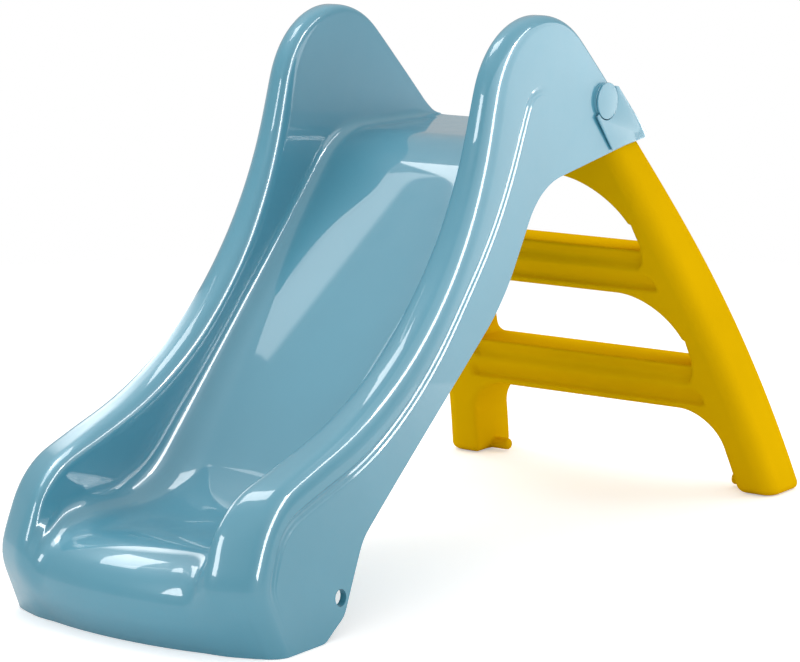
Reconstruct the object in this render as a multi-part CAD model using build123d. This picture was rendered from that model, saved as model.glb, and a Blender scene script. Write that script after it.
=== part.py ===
from build123d import *
import math
import os

# Toddler slide: a moulded chute with two ears, and a hollow two-step ladder that folds under it.
# Millimetres, +Z up. X runs from the nose of the chute to the ladder's feet, Y across the slide.
# Stations are distances along X from the line where the nose meets the floor.

# Chute, driving dimensions
chute_half_width = 200.0       # outside of a skirt, at the floor
skirt_draft = 1.47             # degrees that each skirt leans inwards
chute_wall = 4.0
trough_half_width = 128.0      # inner walls, drawn down to the floor
trough_draft = 1.4             # degrees that each inner wall leans outwards
trough_fillet = 30.0           # bed to inner wall
bed_slope = 46.4               # degrees
deck_height = 533.0
deck_edge_station = 607.0      # where the slope, drawn straight, meets the deck
deck_edge_radius = 130.0
deck_rear_station = 850.0
exit_height = 105.0
exit_radius = 170.0
lip_station = -37.0            # front of the lip, before the front of the nose trims it
lip_radius = 35.0

# Rails and ears, driving dimensions
rail_round = 18.0
rail_top_share = 0.49          # most that one round takes of the rail's width at the peak
rail_nose_station = 32.0       # where the low rail, drawn straight, meets the rail's front
rail_nose_height = 176.0
rail_nose_slope = 62.0         # degrees
rail_nose_radius = 120.0
rail_foot_station = 414.0      # where the low rail, drawn straight, meets the front of the ear
rail_foot_height = 307.0
rail_sweep_radius = 520.0
rail_sweep_share = 0.95        # most that the sweep takes of the ear's straight front
ear_peak_height = 700.0
ear_radius = 128.0
ear_front_slope = 74.0         # degrees
ear_rear_slope = 43.8          # degrees

# Nose, driving dimensions
nose_lean = 32.0               # how far the front leans out above its foot
nose_lean_height = 80.0
nose_plan_radius = 585.0
nose_lean_round = 60.0         # where the lean turns upright
nose_corner_round = 28.0       # front to skirt, in plan

# Lower edge of the skirts, driving dimensions
skirt_foot_end = 118.0
skirt_heel_station = 160.0
skirt_heel_height = 24.0
skirt_knee_station = 205.0
skirt_knee_height = 108.0
skirt_mid_station = 505.0
skirt_mid_height = 352.0
skirt_shoulder_station = 600.0
skirt_shoulder_height = 484.0
skirt_rear_height = 524.0
skirt_edge_radii = [12.0, 20.0, 60.0, 300.0, 110.0]

# Anchor holes low in the skirts, driving dimensions
anchor_hole_diameter = 21.0
anchor_hole_station = 155.0
anchor_hole_height = 47.0
anchor_collar_wall = 3.0
anchor_collar_depth = 4.0      # collar length inside the skirt

# Hinge, driving dimensions
hinge_station = 755.0
hinge_height = 580.0
fold_angle = 70.0              # degrees
journal_diameter = 30.0
journal_clearance = 0.06       # radial running fit in the skirt
hinge_disc_diameter = 48.0
hinge_disc_thickness = 2.8
hinge_pad_diameter = 48.0
hinge_pad_stand = 2.2          # face of the flat pad beyond the skirt, at the axis
plate_thickness = 4.5
plate_tongue_thickness = 2.0
hinge_lobe_margin = 4.0        # ear beyond the pad
plate_gap = 0.4                # hinge plate to the pad
plate_disc_gap = 1.2           # groove round the disc
plate_corners = [(9, 20), (27, 17), (101, -52), (97, -57), (14, -66), (-24, -20)]   # from the axis
collar_flats = 31.0            # square key of the pin in the plate
spigot_diameter = 20.0
spigot_flats = 14.0
spigot_neck_diameter = 12.0
spigot_end = 1.6
key_clearance = 0.1
clip_diameter = 28.0
clip_thickness = 1.6

# Ladder, driving dimensions
ladder_wall = 3.0
leg_foot_front = 1069.0
leg_foot_rear = 1150.0
leg_foot_outer = 277.0
leg_foot_inner = 221.0
leg_inner_slope = 0.157        # inner edges, sideways per unit of height
leg_top_outer = 178.5
leg_bend_height = 505.0
leg_bend_radius = 200.0
leg_foot_front_lean = 20.0     # degrees from the vertical
leg_foot_rear_lean = 17.0
leg_round = 16.0
tongue_radius = 24.0           # round end of each leg, about the hinge
tongue_thickness = 26.5
tongue_solid_depth = 45.0      # solid part of the tongue under the hinge
bridge_height = 512.0          # top of the cross arch between the tongues
arch_height = 468.0            # underside of the cross arch
tread_heights = [191.0, 362.0]
step_thickness = 65.0
step_recess_depth = 13.0
step_recess_height = 28.0
step_recess_margin = 6.0
opening_corner_radii = [48.0, 70.0, 75.0]
opening_sill_radius = 12.0
fold_clearance = 6.0
leg_pass_clearance = 1.5       # round each leg where it leaves its ear
peg_diameter = 17.0
peg_station = 1091.0
peg_height = 11.0
peg_tip = 191.0
peg_round = 4.0

# Derived sizes
reach = 2000.0                 # longer than anything it cuts
below = 60.0                   # how far tools run under the floor
draft_rate = math.tan(math.radians(skirt_draft))
trough_rate = math.tan(math.radians(trough_draft))
slope_rate = math.tan(math.radians(bed_slope))
exit_corner = deck_edge_station - (deck_height - exit_height) / slope_rate
skirt_at_hinge = chute_half_width - draft_rate * hinge_height
pad_face = skirt_at_hinge + hinge_pad_stand
plate_inner = pad_face + plate_gap
plate_outer = plate_inner + plate_thickness
disc_inner = plate_inner + plate_tongue_thickness
disc_outer = disc_inner + hinge_disc_thickness
tongue_inner = leg_top_outer - tongue_thickness
clip_outer = tongue_inner - key_clearance
clip_inner = clip_outer - clip_thickness
neck_end = clip_inner - key_clearance
hinge = Vector(hinge_station, 0, hinge_height)
rail_width_at_peak = chute_half_width - trough_half_width - (draft_rate + trough_rate) * ear_peak_height
crest_round = min(rail_round, rail_top_share * rail_width_at_peak)


# Shared geometry

def side_point(station, height):
    return Vector(station, 0, height)


def leaning(angle):
    """Unit vector in the side plane, leaning towards the nose by angle from the vertical."""
    return side_point(-math.sin(math.radians(angle)), math.cos(math.radians(angle)))


def meet(point, run, other_point, other_run):
    """Where two straight lines in the side plane cross."""
    gap = other_point - point
    cross = run.X * other_run.Z - run.Z * other_run.X
    return point + run * ((gap.X * other_run.Z - gap.Z * other_run.X) / cross)


def inset_route(corners, radii, inset):
    """A rounded route in the side plane, moved to its right by inset."""
    runs = [(end - start).normalized() for start, end in zip(corners, corners[1:])]
    shifts = [side_point(run.Z, -run.X) * inset for run in runs]
    moved = [corners[0] + shifts[0]]
    new_radii = []
    for index, radius in enumerate(radii):
        corner = corners[index + 1]
        run = runs[index]
        turn = runs[index + 1]
        moved.append(meet(corner + shifts[index], run, corner + shifts[index + 1], turn))
        left_turn = run.X * turn.Z - run.Z * turn.X
        new_radii.append(radius + math.copysign(inset, left_turn))
    moved.append(corners[-1] + shifts[-1])
    return FilletPolyline(*moved, radius=new_radii)


def side_prism(route, far_height):
    """The area between a route and a level line, drawn out along Y both ways."""
    start = route @ 0
    end = route @ 1
    closing = Polyline(end, side_point(end.X, far_height), side_point(start.X, far_height), start)
    face = make_face(route.edges() + closing.edges())
    return extrude(face, amount=reach / 2, dir=(0, 1, 0), both=True)


def across_prism(outline):
    """A closed outline in the plane across the slide, drawn out along X past both ends."""
    face = make_face(outline)
    return Pos(-reach / 2, 0, 0) * extrude(face, amount=2 * reach, dir=(1, 0, 0))


def tapered_band(half_width_at):
    """The band of the given half width at each height, drawn out along X."""
    low = -below
    high = reach / 2
    wide = half_width_at(low)
    narrow = half_width_at(high)
    corners = [(0, -wide, low), (0, wide, low), (0, narrow, high), (0, -narrow, high)]
    return across_prism(Polyline(*corners, close=True))


def across_cylinder(radius, start, end, centre=hinge):
    """A round bar along Y, from start to end, about a centre in the side plane."""
    bar = Rot(90, 0, 0) * Cylinder(radius, abs(end - start))
    return Pos(centre.X, (start + end) / 2, centre.Z) * bar


def round_long_edges(solid, route, radius):
    """Rounds the edges of a side prism that follow its route."""
    def follows(edge):
        spot = edge @ 0.5
        on_route = route.distance_to(side_point(spot.X, spot.Z)) < 0.01
        return on_route and abs(edge.tangent_at(0.5).Y) < 0.5

    return fillet(solid.edges().filter_by(follows), radius)


def both_sides(solid):
    return solid + mirror(solid, Plane.XZ)


# Chute

def crest_route(inset):
    """Top of the rails and ears, from the nose to the rear."""
    front_rate = math.tan(math.radians(ear_front_slope))
    rear_rate = math.tan(math.radians(ear_rear_slope))
    half_corner = math.radians(180 - ear_front_slope - ear_rear_slope) / 2
    tilt = math.radians(ear_front_slope - ear_rear_slope) / 2
    corner_height = ear_peak_height + ear_radius * (math.cos(tilt) / math.sin(half_corner) - 1)
    corner_station = rail_foot_station + (corner_height - rail_foot_height) / front_rate
    end_station = deck_rear_station + below
    nose = side_point(rail_nose_station, rail_nose_height)
    nose_drop = (rail_nose_height + below) / math.sin(math.radians(rail_nose_slope))
    corners = [
        nose - leaning(rail_nose_slope - 90) * nose_drop,
        nose,
        side_point(rail_foot_station, rail_foot_height),
        side_point(corner_station, corner_height),
        side_point(end_station, corner_height - (end_station - corner_station) * rear_rate),
    ]
    front_room = (corners[3] - corners[2]).length - ear_radius / math.tan(half_corner)
    sweep_turn = ear_front_slope - math.degrees(math.atan2(corners[2].Z - nose.Z, corners[2].X - nose.X))
    sweep_room = rail_sweep_share * front_room / math.tan(math.radians(sweep_turn / 2))
    sweep_radius = min(rail_sweep_radius, sweep_room)
    return inset_route(corners, [rail_nose_radius, sweep_radius, ear_radius], inset)


def bed_route(inset):
    """Sliding surface, from under the lip to behind the deck."""
    corners = [
        side_point(-reach / 4, -below / 2),
        side_point(lip_station, -below / 2),
        side_point(lip_station, exit_height),
        side_point(exit_corner, exit_height),
        side_point(deck_edge_station, deck_height),
        side_point(reach, deck_height),
    ]
    radii = [lip_radius + trough_fillet, lip_radius, exit_radius, deck_edge_radius]
    return inset_route(corners, radii, inset)


def skirt_band(inset):
    return tapered_band(lambda height: chute_half_width - draft_rate * height - inset)


def trough_band(inset):
    return tapered_band(lambda height: trough_half_width + trough_rate * height + inset)


def hinge_lobe(inset):
    """The part of an ear that holds the hinge, however high the hinge lies."""
    radius = hinge_pad_diameter / 2 + hinge_lobe_margin - inset
    post = Pos(hinge) * Box(2 * radius, reach, hinge_height, align=(Align.CENTER, Align.CENTER, Align.MAX))
    return across_cylinder(radius, -reach / 2, reach / 2) + post


def rails(inset):
    """Both rails with their ears and rolled tops."""
    crest = crest_route(inset)
    upright = Pos(0, reach / 2, 0) * Box(4 * reach, reach, 4 * reach)
    one_side = (skirt_band(inset) - trough_band(inset)) & upright
    one_rail = (side_prism(crest, -below - reach) + hinge_lobe(inset)) & one_side
    return both_sides(round_long_edges(one_rail, crest, crest_round - inset))


def trough_space(inset):
    """The space above the bed and between the inner walls, rounded along its foot."""
    bed = bed_route(inset)
    space = side_prism(bed, reach / 2) & trough_band(inset)
    return round_long_edges(space, bed, trough_fillet + inset)


def front_limit(inset):
    """Everything between the skirts and behind the front, which is curved in plan and leans out upwards."""
    foot = inset - nose_plan_radius
    foot_lean = nose_lean * below / nose_lean_height
    front = FilletPolyline(
        side_point(foot + foot_lean, -below),
        side_point(foot - nose_lean, nose_lean_height),
        side_point(foot - nose_lean, reach / 2),
        radius=nose_lean_round - inset,
    )
    axis_line = Polyline(front @ 1, side_point(0, reach / 2), side_point(0, -below), front @ 0)
    turned = Pos(nose_plan_radius, 0, 0) * revolve(make_face(front.edges() + axis_line.edges()), Axis.Z)
    behind = Pos(nose_plan_radius + reach / 2, 0, 0) * Box(reach, reach, 4 * reach)
    limit = (turned + behind) & skirt_band(inset)

    def is_front_corner(edge):
        spot = edge @ 0.5
        upright = abs(edge.tangent_at(0.5).Z) > 0.7
        return upright and abs(spot.Y) > trough_half_width and spot.X < nose_plan_radius / 2

    return fillet(limit.edges().filter_by(is_front_corner), nose_corner_round - inset)


def chute_form(inset):
    """The chute as a solid block, with its outside moved inwards by inset."""
    crest = crest_route(inset)
    bed_block = side_prism(bed_route(inset), -below) & skirt_band(inset)
    shoulder = side_prism(bed_route(-trough_fillet), -below) & trough_band(inset + crest_round / 2)
    fillets = (shoulder - trough_space(inset)) & side_prism(crest, -below - reach)
    solid = bed_block + fillets + rails(inset)
    solid = solid & front_limit(inset)
    behind = Pos(deck_rear_station - inset + reach / 2, 0, 0) * Box(reach, reach, 4 * reach)
    return solid - behind


def skirt_edge():
    """Lower edge of the skirts, from the floor under the nose up to the rear of the deck."""
    rise = (skirt_rear_height - skirt_shoulder_height) / (deck_rear_station - skirt_shoulder_station)
    corners = [
        side_point(-reach / 4, 0),
        side_point(skirt_foot_end, 0),
        side_point(skirt_heel_station, skirt_heel_height),
        side_point(skirt_knee_station, skirt_knee_height),
        side_point(skirt_mid_station, skirt_mid_height),
        side_point(skirt_shoulder_station, skirt_shoulder_height),
        side_point(deck_rear_station + below, skirt_rear_height + rise * below),
    ]
    return inset_route(corners, skirt_edge_radii, 0)


def leg_pass():
    """The way through the rear of an ear for the leg that hangs in it."""
    width = tongue_thickness + 2 * leg_pass_clearance
    band = Pos(0, tongue_inner + tongue_thickness / 2, 0) * Box(4 * reach, width, 4 * reach)
    return side_prism_closed(leg_route(-leg_pass_clearance)) & band


def slide_chute():
    shell = chute_form(0) - chute_form(chute_wall)
    shell = shell - side_prism(skirt_edge(), -below - reach)
    pad = across_cylinder(hinge_pad_diameter / 2, skirt_at_hinge - chute_wall / 2, pad_face)
    hole = side_point(anchor_hole_station, anchor_hole_height)
    hole_face = chute_half_width - draft_rate * anchor_hole_height
    collar_end = hole_face - chute_wall - anchor_collar_depth
    collar_radius = anchor_hole_diameter / 2 + anchor_collar_wall
    collar = across_cylinder(collar_radius, collar_end, hole_face - chute_wall / 2, hole)
    bore = across_cylinder(journal_diameter / 2 + journal_clearance, leg_top_outer, reach)
    anchor = across_cylinder(anchor_hole_diameter / 2, trough_half_width, reach, hole)
    return shell + both_sides(pad + collar) - both_sides(bore + anchor + leg_pass())


# Ladder

def bow(start, lean, side):
    """Centre and radius of the arc that leaves start at a lean and runs tangent to the tongue.
    The tongue lies outside the arc on the front of a leg (side 1) and inside it on the back (side -1)."""
    upwards = leaning(lean)
    inwards = side_point(-upwards.Z, upwards.X)
    gap = start - hinge
    radius = (gap.dot(gap) - tongue_radius ** 2) / (2 * (side * tongue_radius - gap.dot(inwards)))
    return start + inwards * radius, radius


def arc_about(centre, radius, start, end):
    """The short arc about a centre between the directions of two points."""
    first = (start - centre).normalized()
    last = (end - centre).normalized()
    middle = (first + last).normalized()
    return ThreePointArc(centre + first * radius, centre + middle * radius, centre + last * radius)


def leg_route(inset):
    """Side outline of the ladder, up its bowed front, round the hinge and down its bowed back."""
    foot_front = side_point(leg_foot_front, 0)
    foot_rear = side_point(leg_foot_rear, 0)
    front_centre, front_radius = bow(foot_front, leg_foot_front_lean, 1)
    rear_centre, rear_radius = bow(foot_rear, leg_foot_rear_lean, -1)
    front = arc_about(front_centre, front_radius + inset, foot_front, hinge)
    rear = arc_about(rear_centre, rear_radius - inset, hinge, foot_rear)
    width = (rear @ 0) - (front @ 1)
    top = hinge + side_point(-width.Z, width.X).normalized() * (tongue_radius - inset)
    tongue = ThreePointArc(front @ 1, top, rear @ 0)
    low_front = Line((front @ 0) - leaning(leg_foot_front_lean) * below, front @ 0)
    low_rear = Line(rear @ 1, (rear @ 1) - leaning(leg_foot_rear_lean) * below)
    return Wire([low_front, front, tongue, rear, low_rear])


def leg_band(inset):
    """Front outline of the ladder: legs that splay out, then stand upright inside the ears."""
    splay = (leg_foot_outer - leg_top_outer) / leg_bend_height
    top = leg_bend_height + reach / 4
    foot = leg_foot_outer + splay * below
    left = FilletPolyline(
        (0, inset - foot, -below),
        (0, inset - leg_top_outer, leg_bend_height),
        (0, inset - leg_top_outer, top),
        radius=leg_bend_radius,
    )
    right = mirror(left, Plane.XZ)
    sill = Line((0, inset - foot, -below), (0, foot - inset, -below))
    head = Line((0, inset - leg_top_outer, top), (0, leg_top_outer - inset, top))
    return across_prism(left.edges() + right.edges() + sill.edges() + head.edges())


def leg_inner(height):
    return leg_foot_inner - leg_inner_slope * height


def ladder_openings(inset):
    """The D-shaped gaps between the legs, under and between the steps."""
    sills = [-2 * below] + tread_heights
    heads = [height - step_thickness for height in tread_heights] + [arch_height]
    gaps = []
    for sill, head, radius in zip(sills, heads, opening_corner_radii):
        low = sill - inset
        high = head + inset
        wide = leg_inner(low) + inset
        narrow = leg_inner(high) + inset
        outline = Polyline((0, -wide, low), (0, wide, low), (0, narrow, high), (0, -narrow, high), close=True)
        face = Sketch() + make_face(outline)
        corners = face.vertices().sort_by(Axis.Z)
        face = fillet(corners[2:], radius + inset)
        corners = face.vertices().sort_by(Axis.Z)
        face = fillet(corners[:2], opening_sill_radius + inset)
        gaps.append(Pos(reach / 4, 0, 0) * extrude(face, amount=reach, dir=(1, 0, 0)))
    return gaps


def step_recesses(inset):
    """Shallow bands across the front of each step, above its rolled edge."""
    recessed = side_prism_closed(leg_route(step_recess_depth + inset))
    cuts = []
    for tread in tread_heights:
        mid_depth = (leg_foot_front + leg_foot_rear) / 2
        mid_depth = mid_depth + (hinge_station - mid_depth) * tread / hinge_height
        half_width = leg_inner(tread) - step_recess_margin + inset
        height = step_recess_height + 2 * inset
        box = Box(reach, 2 * half_width, height, align=(Align.MAX, Align.CENTER, Align.MAX))
        cuts.append(Pos(mid_depth, 0, tread + inset) * box - recessed)
    return cuts


def side_prism_closed(route):
    closing = Line(route @ 1, route @ 0)
    return extrude(make_face(route.edges() + [closing]), amount=reach / 2, dir=(0, 1, 0), both=True)


def fold_relief(inset):
    """The space under the deck that the cross arch needs when the ladder is folded."""
    ceiling = deck_height - chute_wall - fold_clearance - inset
    room = Box(reach, 2 * (tongue_inner + inset), reach / 4, align=(Align.CENTER, Align.CENTER, Align.MIN))
    room = Pos(0, 0, ceiling - hinge_height) * room
    return Pos(hinge) * Rot(0, -fold_angle, 0) * room


def ladder_form(inset):
    """The ladder as a solid, with its outside moved inwards by inset."""
    route = leg_route(inset)
    solid = side_prism_closed(route) & leg_band(inset)
    solid = round_long_edges(solid, route, leg_round - inset)
    floor = Pos(0, 0, inset) * Box(4 * reach, reach, reach, align=(Align.CENTER, Align.CENTER, Align.MAX))
    gap = Box(4 * reach, 2 * (tongue_inner + inset), reach, align=(Align.CENTER, Align.CENTER, Align.MIN))
    gap = Pos(0, 0, bridge_height - inset) * gap
    tools = [floor, gap, fold_relief(inset)] + ladder_openings(inset) + step_recesses(inset)
    return solid - tools


def ladder_frame():
    ceiling = hinge_height - tongue_solid_depth
    limit = Box(4 * reach, reach, reach, align=(Align.CENTER, Align.CENTER, Align.MAX))
    hollow = ladder_form(ladder_wall) & Pos(0, 0, ceiling) * limit
    peg_centre = side_point(peg_station, peg_height)
    peg = across_cylinder(peg_diameter / 2, peg_tip, leg_foot_inner + ladder_wall, peg_centre)
    peg = fillet(peg.edges().sort_by(Axis.Y)[0], peg_round)
    socket = spigot(key_clearance, tongue_inner - ladder_wall, leg_top_outer + ladder_wall)
    return ladder_form(0) - hollow + both_sides(peg) - both_sides(socket)


# Hinge pieces, made for the +Y side

def spigot(clearance, start, end):
    bar = across_cylinder(spigot_diameter / 2 + clearance, start, end)
    flats = Box(reach, reach, spigot_flats + 2 * clearance)
    return bar & Pos(hinge) * flats


def hinge_pin():
    disc = across_cylinder(hinge_disc_diameter / 2, disc_inner, disc_outer)
    disc = fillet(disc.edges().sort_by(Axis.Y)[-1], hinge_disc_thickness / 3)
    collar = Box(collar_flats, plate_tongue_thickness, collar_flats)
    collar = Pos(hinge_station, (plate_inner + disc_inner) / 2, hinge_height) * collar
    journal = across_cylinder(journal_diameter / 2, leg_top_outer, plate_inner)
    key = spigot(0, tongue_inner, leg_top_outer)
    neck = across_cylinder(spigot_neck_diameter / 2, neck_end, tongue_inner)
    end = spigot(0, neck_end - spigot_end, neck_end)
    return disc + collar + journal + key + neck + end


def hinge_plate():
    corners = [Vector(hinge_station + x, plate_inner, hinge_height + z) for x, z in plate_corners]
    flag = extrude(make_face(Polyline(*corners, close=True)), amount=plate_thickness, dir=(0, 1, 0))
    notch = across_cylinder(hinge_disc_diameter / 2 + plate_disc_gap, disc_inner, plate_outer + plate_gap)
    tongue = across_cylinder(hinge_disc_diameter / 2, plate_inner, disc_inner)
    keyhole = Box(collar_flats + 2 * key_clearance, reach, collar_flats + 2 * key_clearance)
    return flag - notch + tongue - Pos(hinge) * keyhole


def hinge_clip():
    clip = across_cylinder(clip_diameter / 2, clip_inner, clip_outer)
    slot_width = spigot_neck_diameter + 2 * key_clearance
    slot = across_cylinder(slot_width / 2, 0, reach)
    mouth = Box(slot_width, reach, clip_diameter, align=(Align.CENTER, Align.CENTER, Align.MAX))
    return clip - slot - Pos(hinge) * mouth


# Output, with the origin under the middle of the whole slide

def export(name, solid):
    placed = Pos(-middle, 0, 0) * solid
    export_step(placed, os.path.join("parts", name + ".step"))


os.makedirs("parts", exist_ok=True)
chute = slide_chute()
ladder = ladder_frame()
middle = (chute.bounding_box().min.X + ladder.bounding_box().max.X) / 2
export("slide_chute", chute)
export("ladder_frame", ladder)
for name, piece in [("hinge_plate", hinge_plate()), ("hinge_pin", hinge_pin()), ("hinge_clip", hinge_clip())]:
    export(name + "_left", piece)
    export(name + "_right", mirror(piece, Plane.XZ))
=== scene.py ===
import math

import bmesh
import bpy
import numpy as np
from mathutils import Euler, Matrix, Vector


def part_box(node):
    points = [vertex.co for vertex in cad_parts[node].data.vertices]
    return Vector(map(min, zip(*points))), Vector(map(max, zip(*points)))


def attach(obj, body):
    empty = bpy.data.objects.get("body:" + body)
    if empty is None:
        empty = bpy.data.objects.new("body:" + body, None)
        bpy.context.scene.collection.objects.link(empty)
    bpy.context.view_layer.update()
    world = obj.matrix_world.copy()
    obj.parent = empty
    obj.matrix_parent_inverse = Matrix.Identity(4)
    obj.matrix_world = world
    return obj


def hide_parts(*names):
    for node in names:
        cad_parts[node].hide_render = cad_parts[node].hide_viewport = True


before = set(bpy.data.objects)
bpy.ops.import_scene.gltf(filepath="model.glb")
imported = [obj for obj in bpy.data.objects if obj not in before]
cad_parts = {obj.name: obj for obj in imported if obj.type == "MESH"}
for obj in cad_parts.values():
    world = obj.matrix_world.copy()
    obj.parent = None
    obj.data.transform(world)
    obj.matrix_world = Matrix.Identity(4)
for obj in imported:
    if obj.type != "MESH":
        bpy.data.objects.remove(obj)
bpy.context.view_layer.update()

# Toddler slide, dressed. Lengths are millimetres until they are placed.
# Stations are distances along X from a line close to where the nose meets the floor.

# Rear end and underside of the deck, and the station of the frame's origin
deck_rear = 850.0
deck_bottom = 524.0
middle = deck_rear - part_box("slide_chute")[1].x * 1000

# Chute sheet
skirt_half_width = 200.0       # outside of a skirt at the floor, without its flare
skirt_lean = 0.0257            # inwards per unit of height
skirt_flare = 6.0              # outwards at the floor
flare_height = 200.0
wall_half_width = 128.0        # inner walls, at the floor
wall_lean = 0.0244             # outwards per unit of height
sheet_thickness = 3.6
row_spacing = 7.0
row_ease = 4.0                 # rows over which sizes blend
rail_reference = 165.0         # half width where the crest line lies
bed_reference = 130.0          # half width where the bed line lies
front_bend = 0.000855          # plan curve of the front, square and fourth power terms
front_corner_bend = 7.1e-9
front_fade = 150.0             # station where the plan curve has faded out
pilaster_width = 24.0          # extra run over which the rails' feet sink into the front
pilaster_depth = 60.0          # rail height from which the inner walls stand up straight
pilaster_end = (60.0, 120.0)   # stations between which that sinking ends
least_strip = 1.0              # that the groove and the crown leave beside the rail's round
least_depth = 0.5              # of the trough, from the crest down to the bed
crown_share = 0.4              # of that depth, at most
crown_ratio = 1.2              # width of the inner crown to its depth
fillet_share = 0.55            # of that depth, at most
skirt_share = 0.75             # of the way from the crest to the lower edge, where the groove ends at most
crest_upright = 95.0           # heights up to which rows turn from level to square with the line
bed_upright = 70.0
crest_softness = 10.0          # lengths over which the side lines are smoothed
edge_softness = 4.0
bed_softness = 8.0
sharp_angle = 40.0             # degrees between faces from which an edge is drawn sharp
pin_sharp_angle = 35.0
ladder_sharp_angle = 60.0

# Fineness of the meshes: columns over each zone of the chute, points on rounds and sides of circles
skirt_columns = 22
rail_columns = 9
flat_columns = 4
crown_columns = 15
wall_columns = 9
fillet_columns = 17
bed_columns = 11
arc_points = 25
rim_points = 6
notch_points = 24
turned_sides = 64
hole_sides = 40
floor_sides = 96
route_step = 2.0               # along the side lines

# Side lines of the chute: corners and rounds
ear_front_slope = math.radians(73.2)
ear_rear_slope = math.radians(43.8)
ear_peak = 701.8               # before the line is softened
ear_round = 121.0
rail_foot = (413.0, 310.0)
crest_end = (836.0, 536.0)
half_corner = (math.pi - ear_front_slope - ear_rear_slope) / 2
ear_tilt = (ear_front_slope - ear_rear_slope) / 2
ear_corner_height = ear_peak + ear_round * (math.cos(ear_tilt) / math.sin(half_corner) - 1)
ear_corner_station = rail_foot[0] + (ear_corner_height - rail_foot[1]) / math.tan(ear_front_slope)
ear_corner = (ear_corner_station, ear_corner_height)
crest_corners = [(18, 0), (-20, 79), (25, 180), rail_foot, ear_corner, crest_end, (deck_rear, 535)]
crest_rounds = [50, 110, 520, ear_round, 14]
bed_corners = [(11, 0), (-41, 80), (46, 111), (199.4, 105), (607, 533), (deck_rear, 533)]
bed_rounds = [50, 140, 170, 130]
edge_corners = [(60, 0), (118, 0), (160, 24), (205, 108), (511, 347), (600, 484), (deck_rear, deck_bottom)]
edge_rounds = [12, 20, 60, 300, 110]

# Matching points on the crest, on the lower edge and on the bed
matches = [
    ((18, 0), (60, 0), (11, 0)),
    ((-15, 74), (118, 0), (-19, 66)),
    ((-11, 105), (140, 10), (-8, 92)),
    ((7, 141), (158, 22), (34, 107)),
    ((62, 184), (186, 72), (75, 105)),
    ((204, 237), (290, 177), (238, 146)),
    ((398, 391), (455, 311), (437, 354)),
    ((478, 540), (560, 425), (549, 472)),
    ((505, 620), (580, 460), (600, 520)),
    ((545, 672), (600, 478), (632, 531)),
    ((617, 700), (640, 491), (668, 533)),
    ((690, 668), (710, 503), (715, 533)),
    ((772, 597), (775, 512), (775, 533)),
    ((deck_rear, 535), (deck_rear, deck_bottom), (deck_rear, 533)),
]
# Along those matches: outer round of the rail, depth of its inner crown, fillet at the foot of the wall,
# and the groove
outer_rounds = [16, 16, 15, 13, 20, 26, 26, 26, 25, 21, 15, 9, 5, 5]
crown_depths = [2, 3, 8, 16, 20, 24, 24, 22, 20, 18, 14, 8, 5, 5]
fillet_widths = [20, 22, 34, 54, 74, 72, 36, 24, 22, 20, 20, 20, 20, 20]
fillet_heights = [4, 5, 16, 34, 50, 48, 26, 20, 18, 18, 18, 18, 18, 18]
groove_places = [26, 26, 24, 26, 36, 43, 39, 62, 76, 86, 96, 92, 60, 8]
groove_widths = [12, 12, 13, 14, 14, 14, 14, 14, 14, 14, 14, 14, 14, 6]
groove_depths = [0, 0, 1.5, 3.5, 3.75, 4.1, 3.6, 3.7, 3.5, 0.6, 0, 0, 0, 0]
# Across the groove from the crest down, in widths from its middle and shares of its depth: a slope into its
# floor, then two short slopes out with a ledge between them
groove_reach = 0.8
groove_profile = [(-groove_reach, 0), (-0.45, 0), (-0.1, 1), (0.05, 1), (0.23, 0.5), (0.45, 0.5), (0.63, 0),
                  (groove_reach, 0)]
groove_edge = 0.03             # from each corner to the columns beside it, in widths

# Anchor holes
anchor_station = 155.0
anchor_height = 47.0
anchor_radius = 10.5
anchor_depth = 8.0
anchor_margin = 2.0            # round the hole, where the sheet is drawn anew
collar_wall = 3.0
collar_sink = 0.6              # of its face under the sheet's
collar_lead = 2.0              # from its face back to its outer wall

# Hinge
hinge_station = 755.0
hinge_height = 580.0
pad_radius = 24.0
pad_face = 187.3
pad_height = 5.0
pad_round = 0.6
plate_inner = 187.7
plate_outer = 190.5
plate_round = 1.1
plate_corners = [(9, 20), (27, 17), (101, -52), (97, -57), (14, -66), (-24, -20)]
plate_notch = 25.2
plate_edge_angle = 30.0        # degrees between faces from which a flap's edge is rounded
disc_radius = 24.0
disc_inner = 188.2
disc_outer = 190.9
disc_round = 0.9
journal_radius = 15.0
pin_radius = 10.0
leg_top_outer = 178.5
tongue_inner = 152.0

# Ladder
foot_front = (1065.0, 0.0)
foot_rear = (1152.5, 0.0)
foot_front_lean = math.radians(20)
foot_rear_lean = math.radians(17)
foot_outer = 279.0
foot_inner = 221.0
leg_inner_slope = 0.157
leg_bend_height = 505.0
leg_bend_softness = 45.0
leg_front_round = 24.0
leg_rear_round = 16.0
leg_edge_round = 6.0
foot_round = 12.0
tongue_radius = 24.0
tongue_gap_round = 5.0
bridge_height = 512.0
arch_height = 468.0
tread_heights = [191.0, 362.0]
step_thickness = 69.0
opening_rounds = [52.0, 75.0, 80.0]
opening_sill_round = 12.0
opening_edge_round = 6.0
lowest_sill = -120.0           # under the floor, so that the lowest opening has no sill

# Two hollows in the front of each step, measured down from its tread and in from the legs
upper_depth = 6.0
upper_gain = 4.0               # more depth, at the gain's drop
upper_gain_drop = 20.0
upper_close = (15.0, 33.0)     # drops between which it closes
upper_above = 40.0             # above the tread, where it stops
upper_inset = 2.0
upper_bend = 10.0              # more inset, at the bend's drop
upper_bend_drop = 24.0
upper_bend_limit = 1.2         # of that drop, past which the inset stays
upper_fade = (4.0, 2.0)        # before and past its end
lower_depth = 8.0
lower_open = (31.0, 53.0)      # drops between which it opens and closes
lower_close = (54.0, 62.0)
lower_inset = 5.0
lower_bend = 16.0              # more inset higher up, from a drop and over a run
lower_bend_start = 48.0
lower_bend_run = 18.0
lower_fade = (5.0, 3.0)

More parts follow.
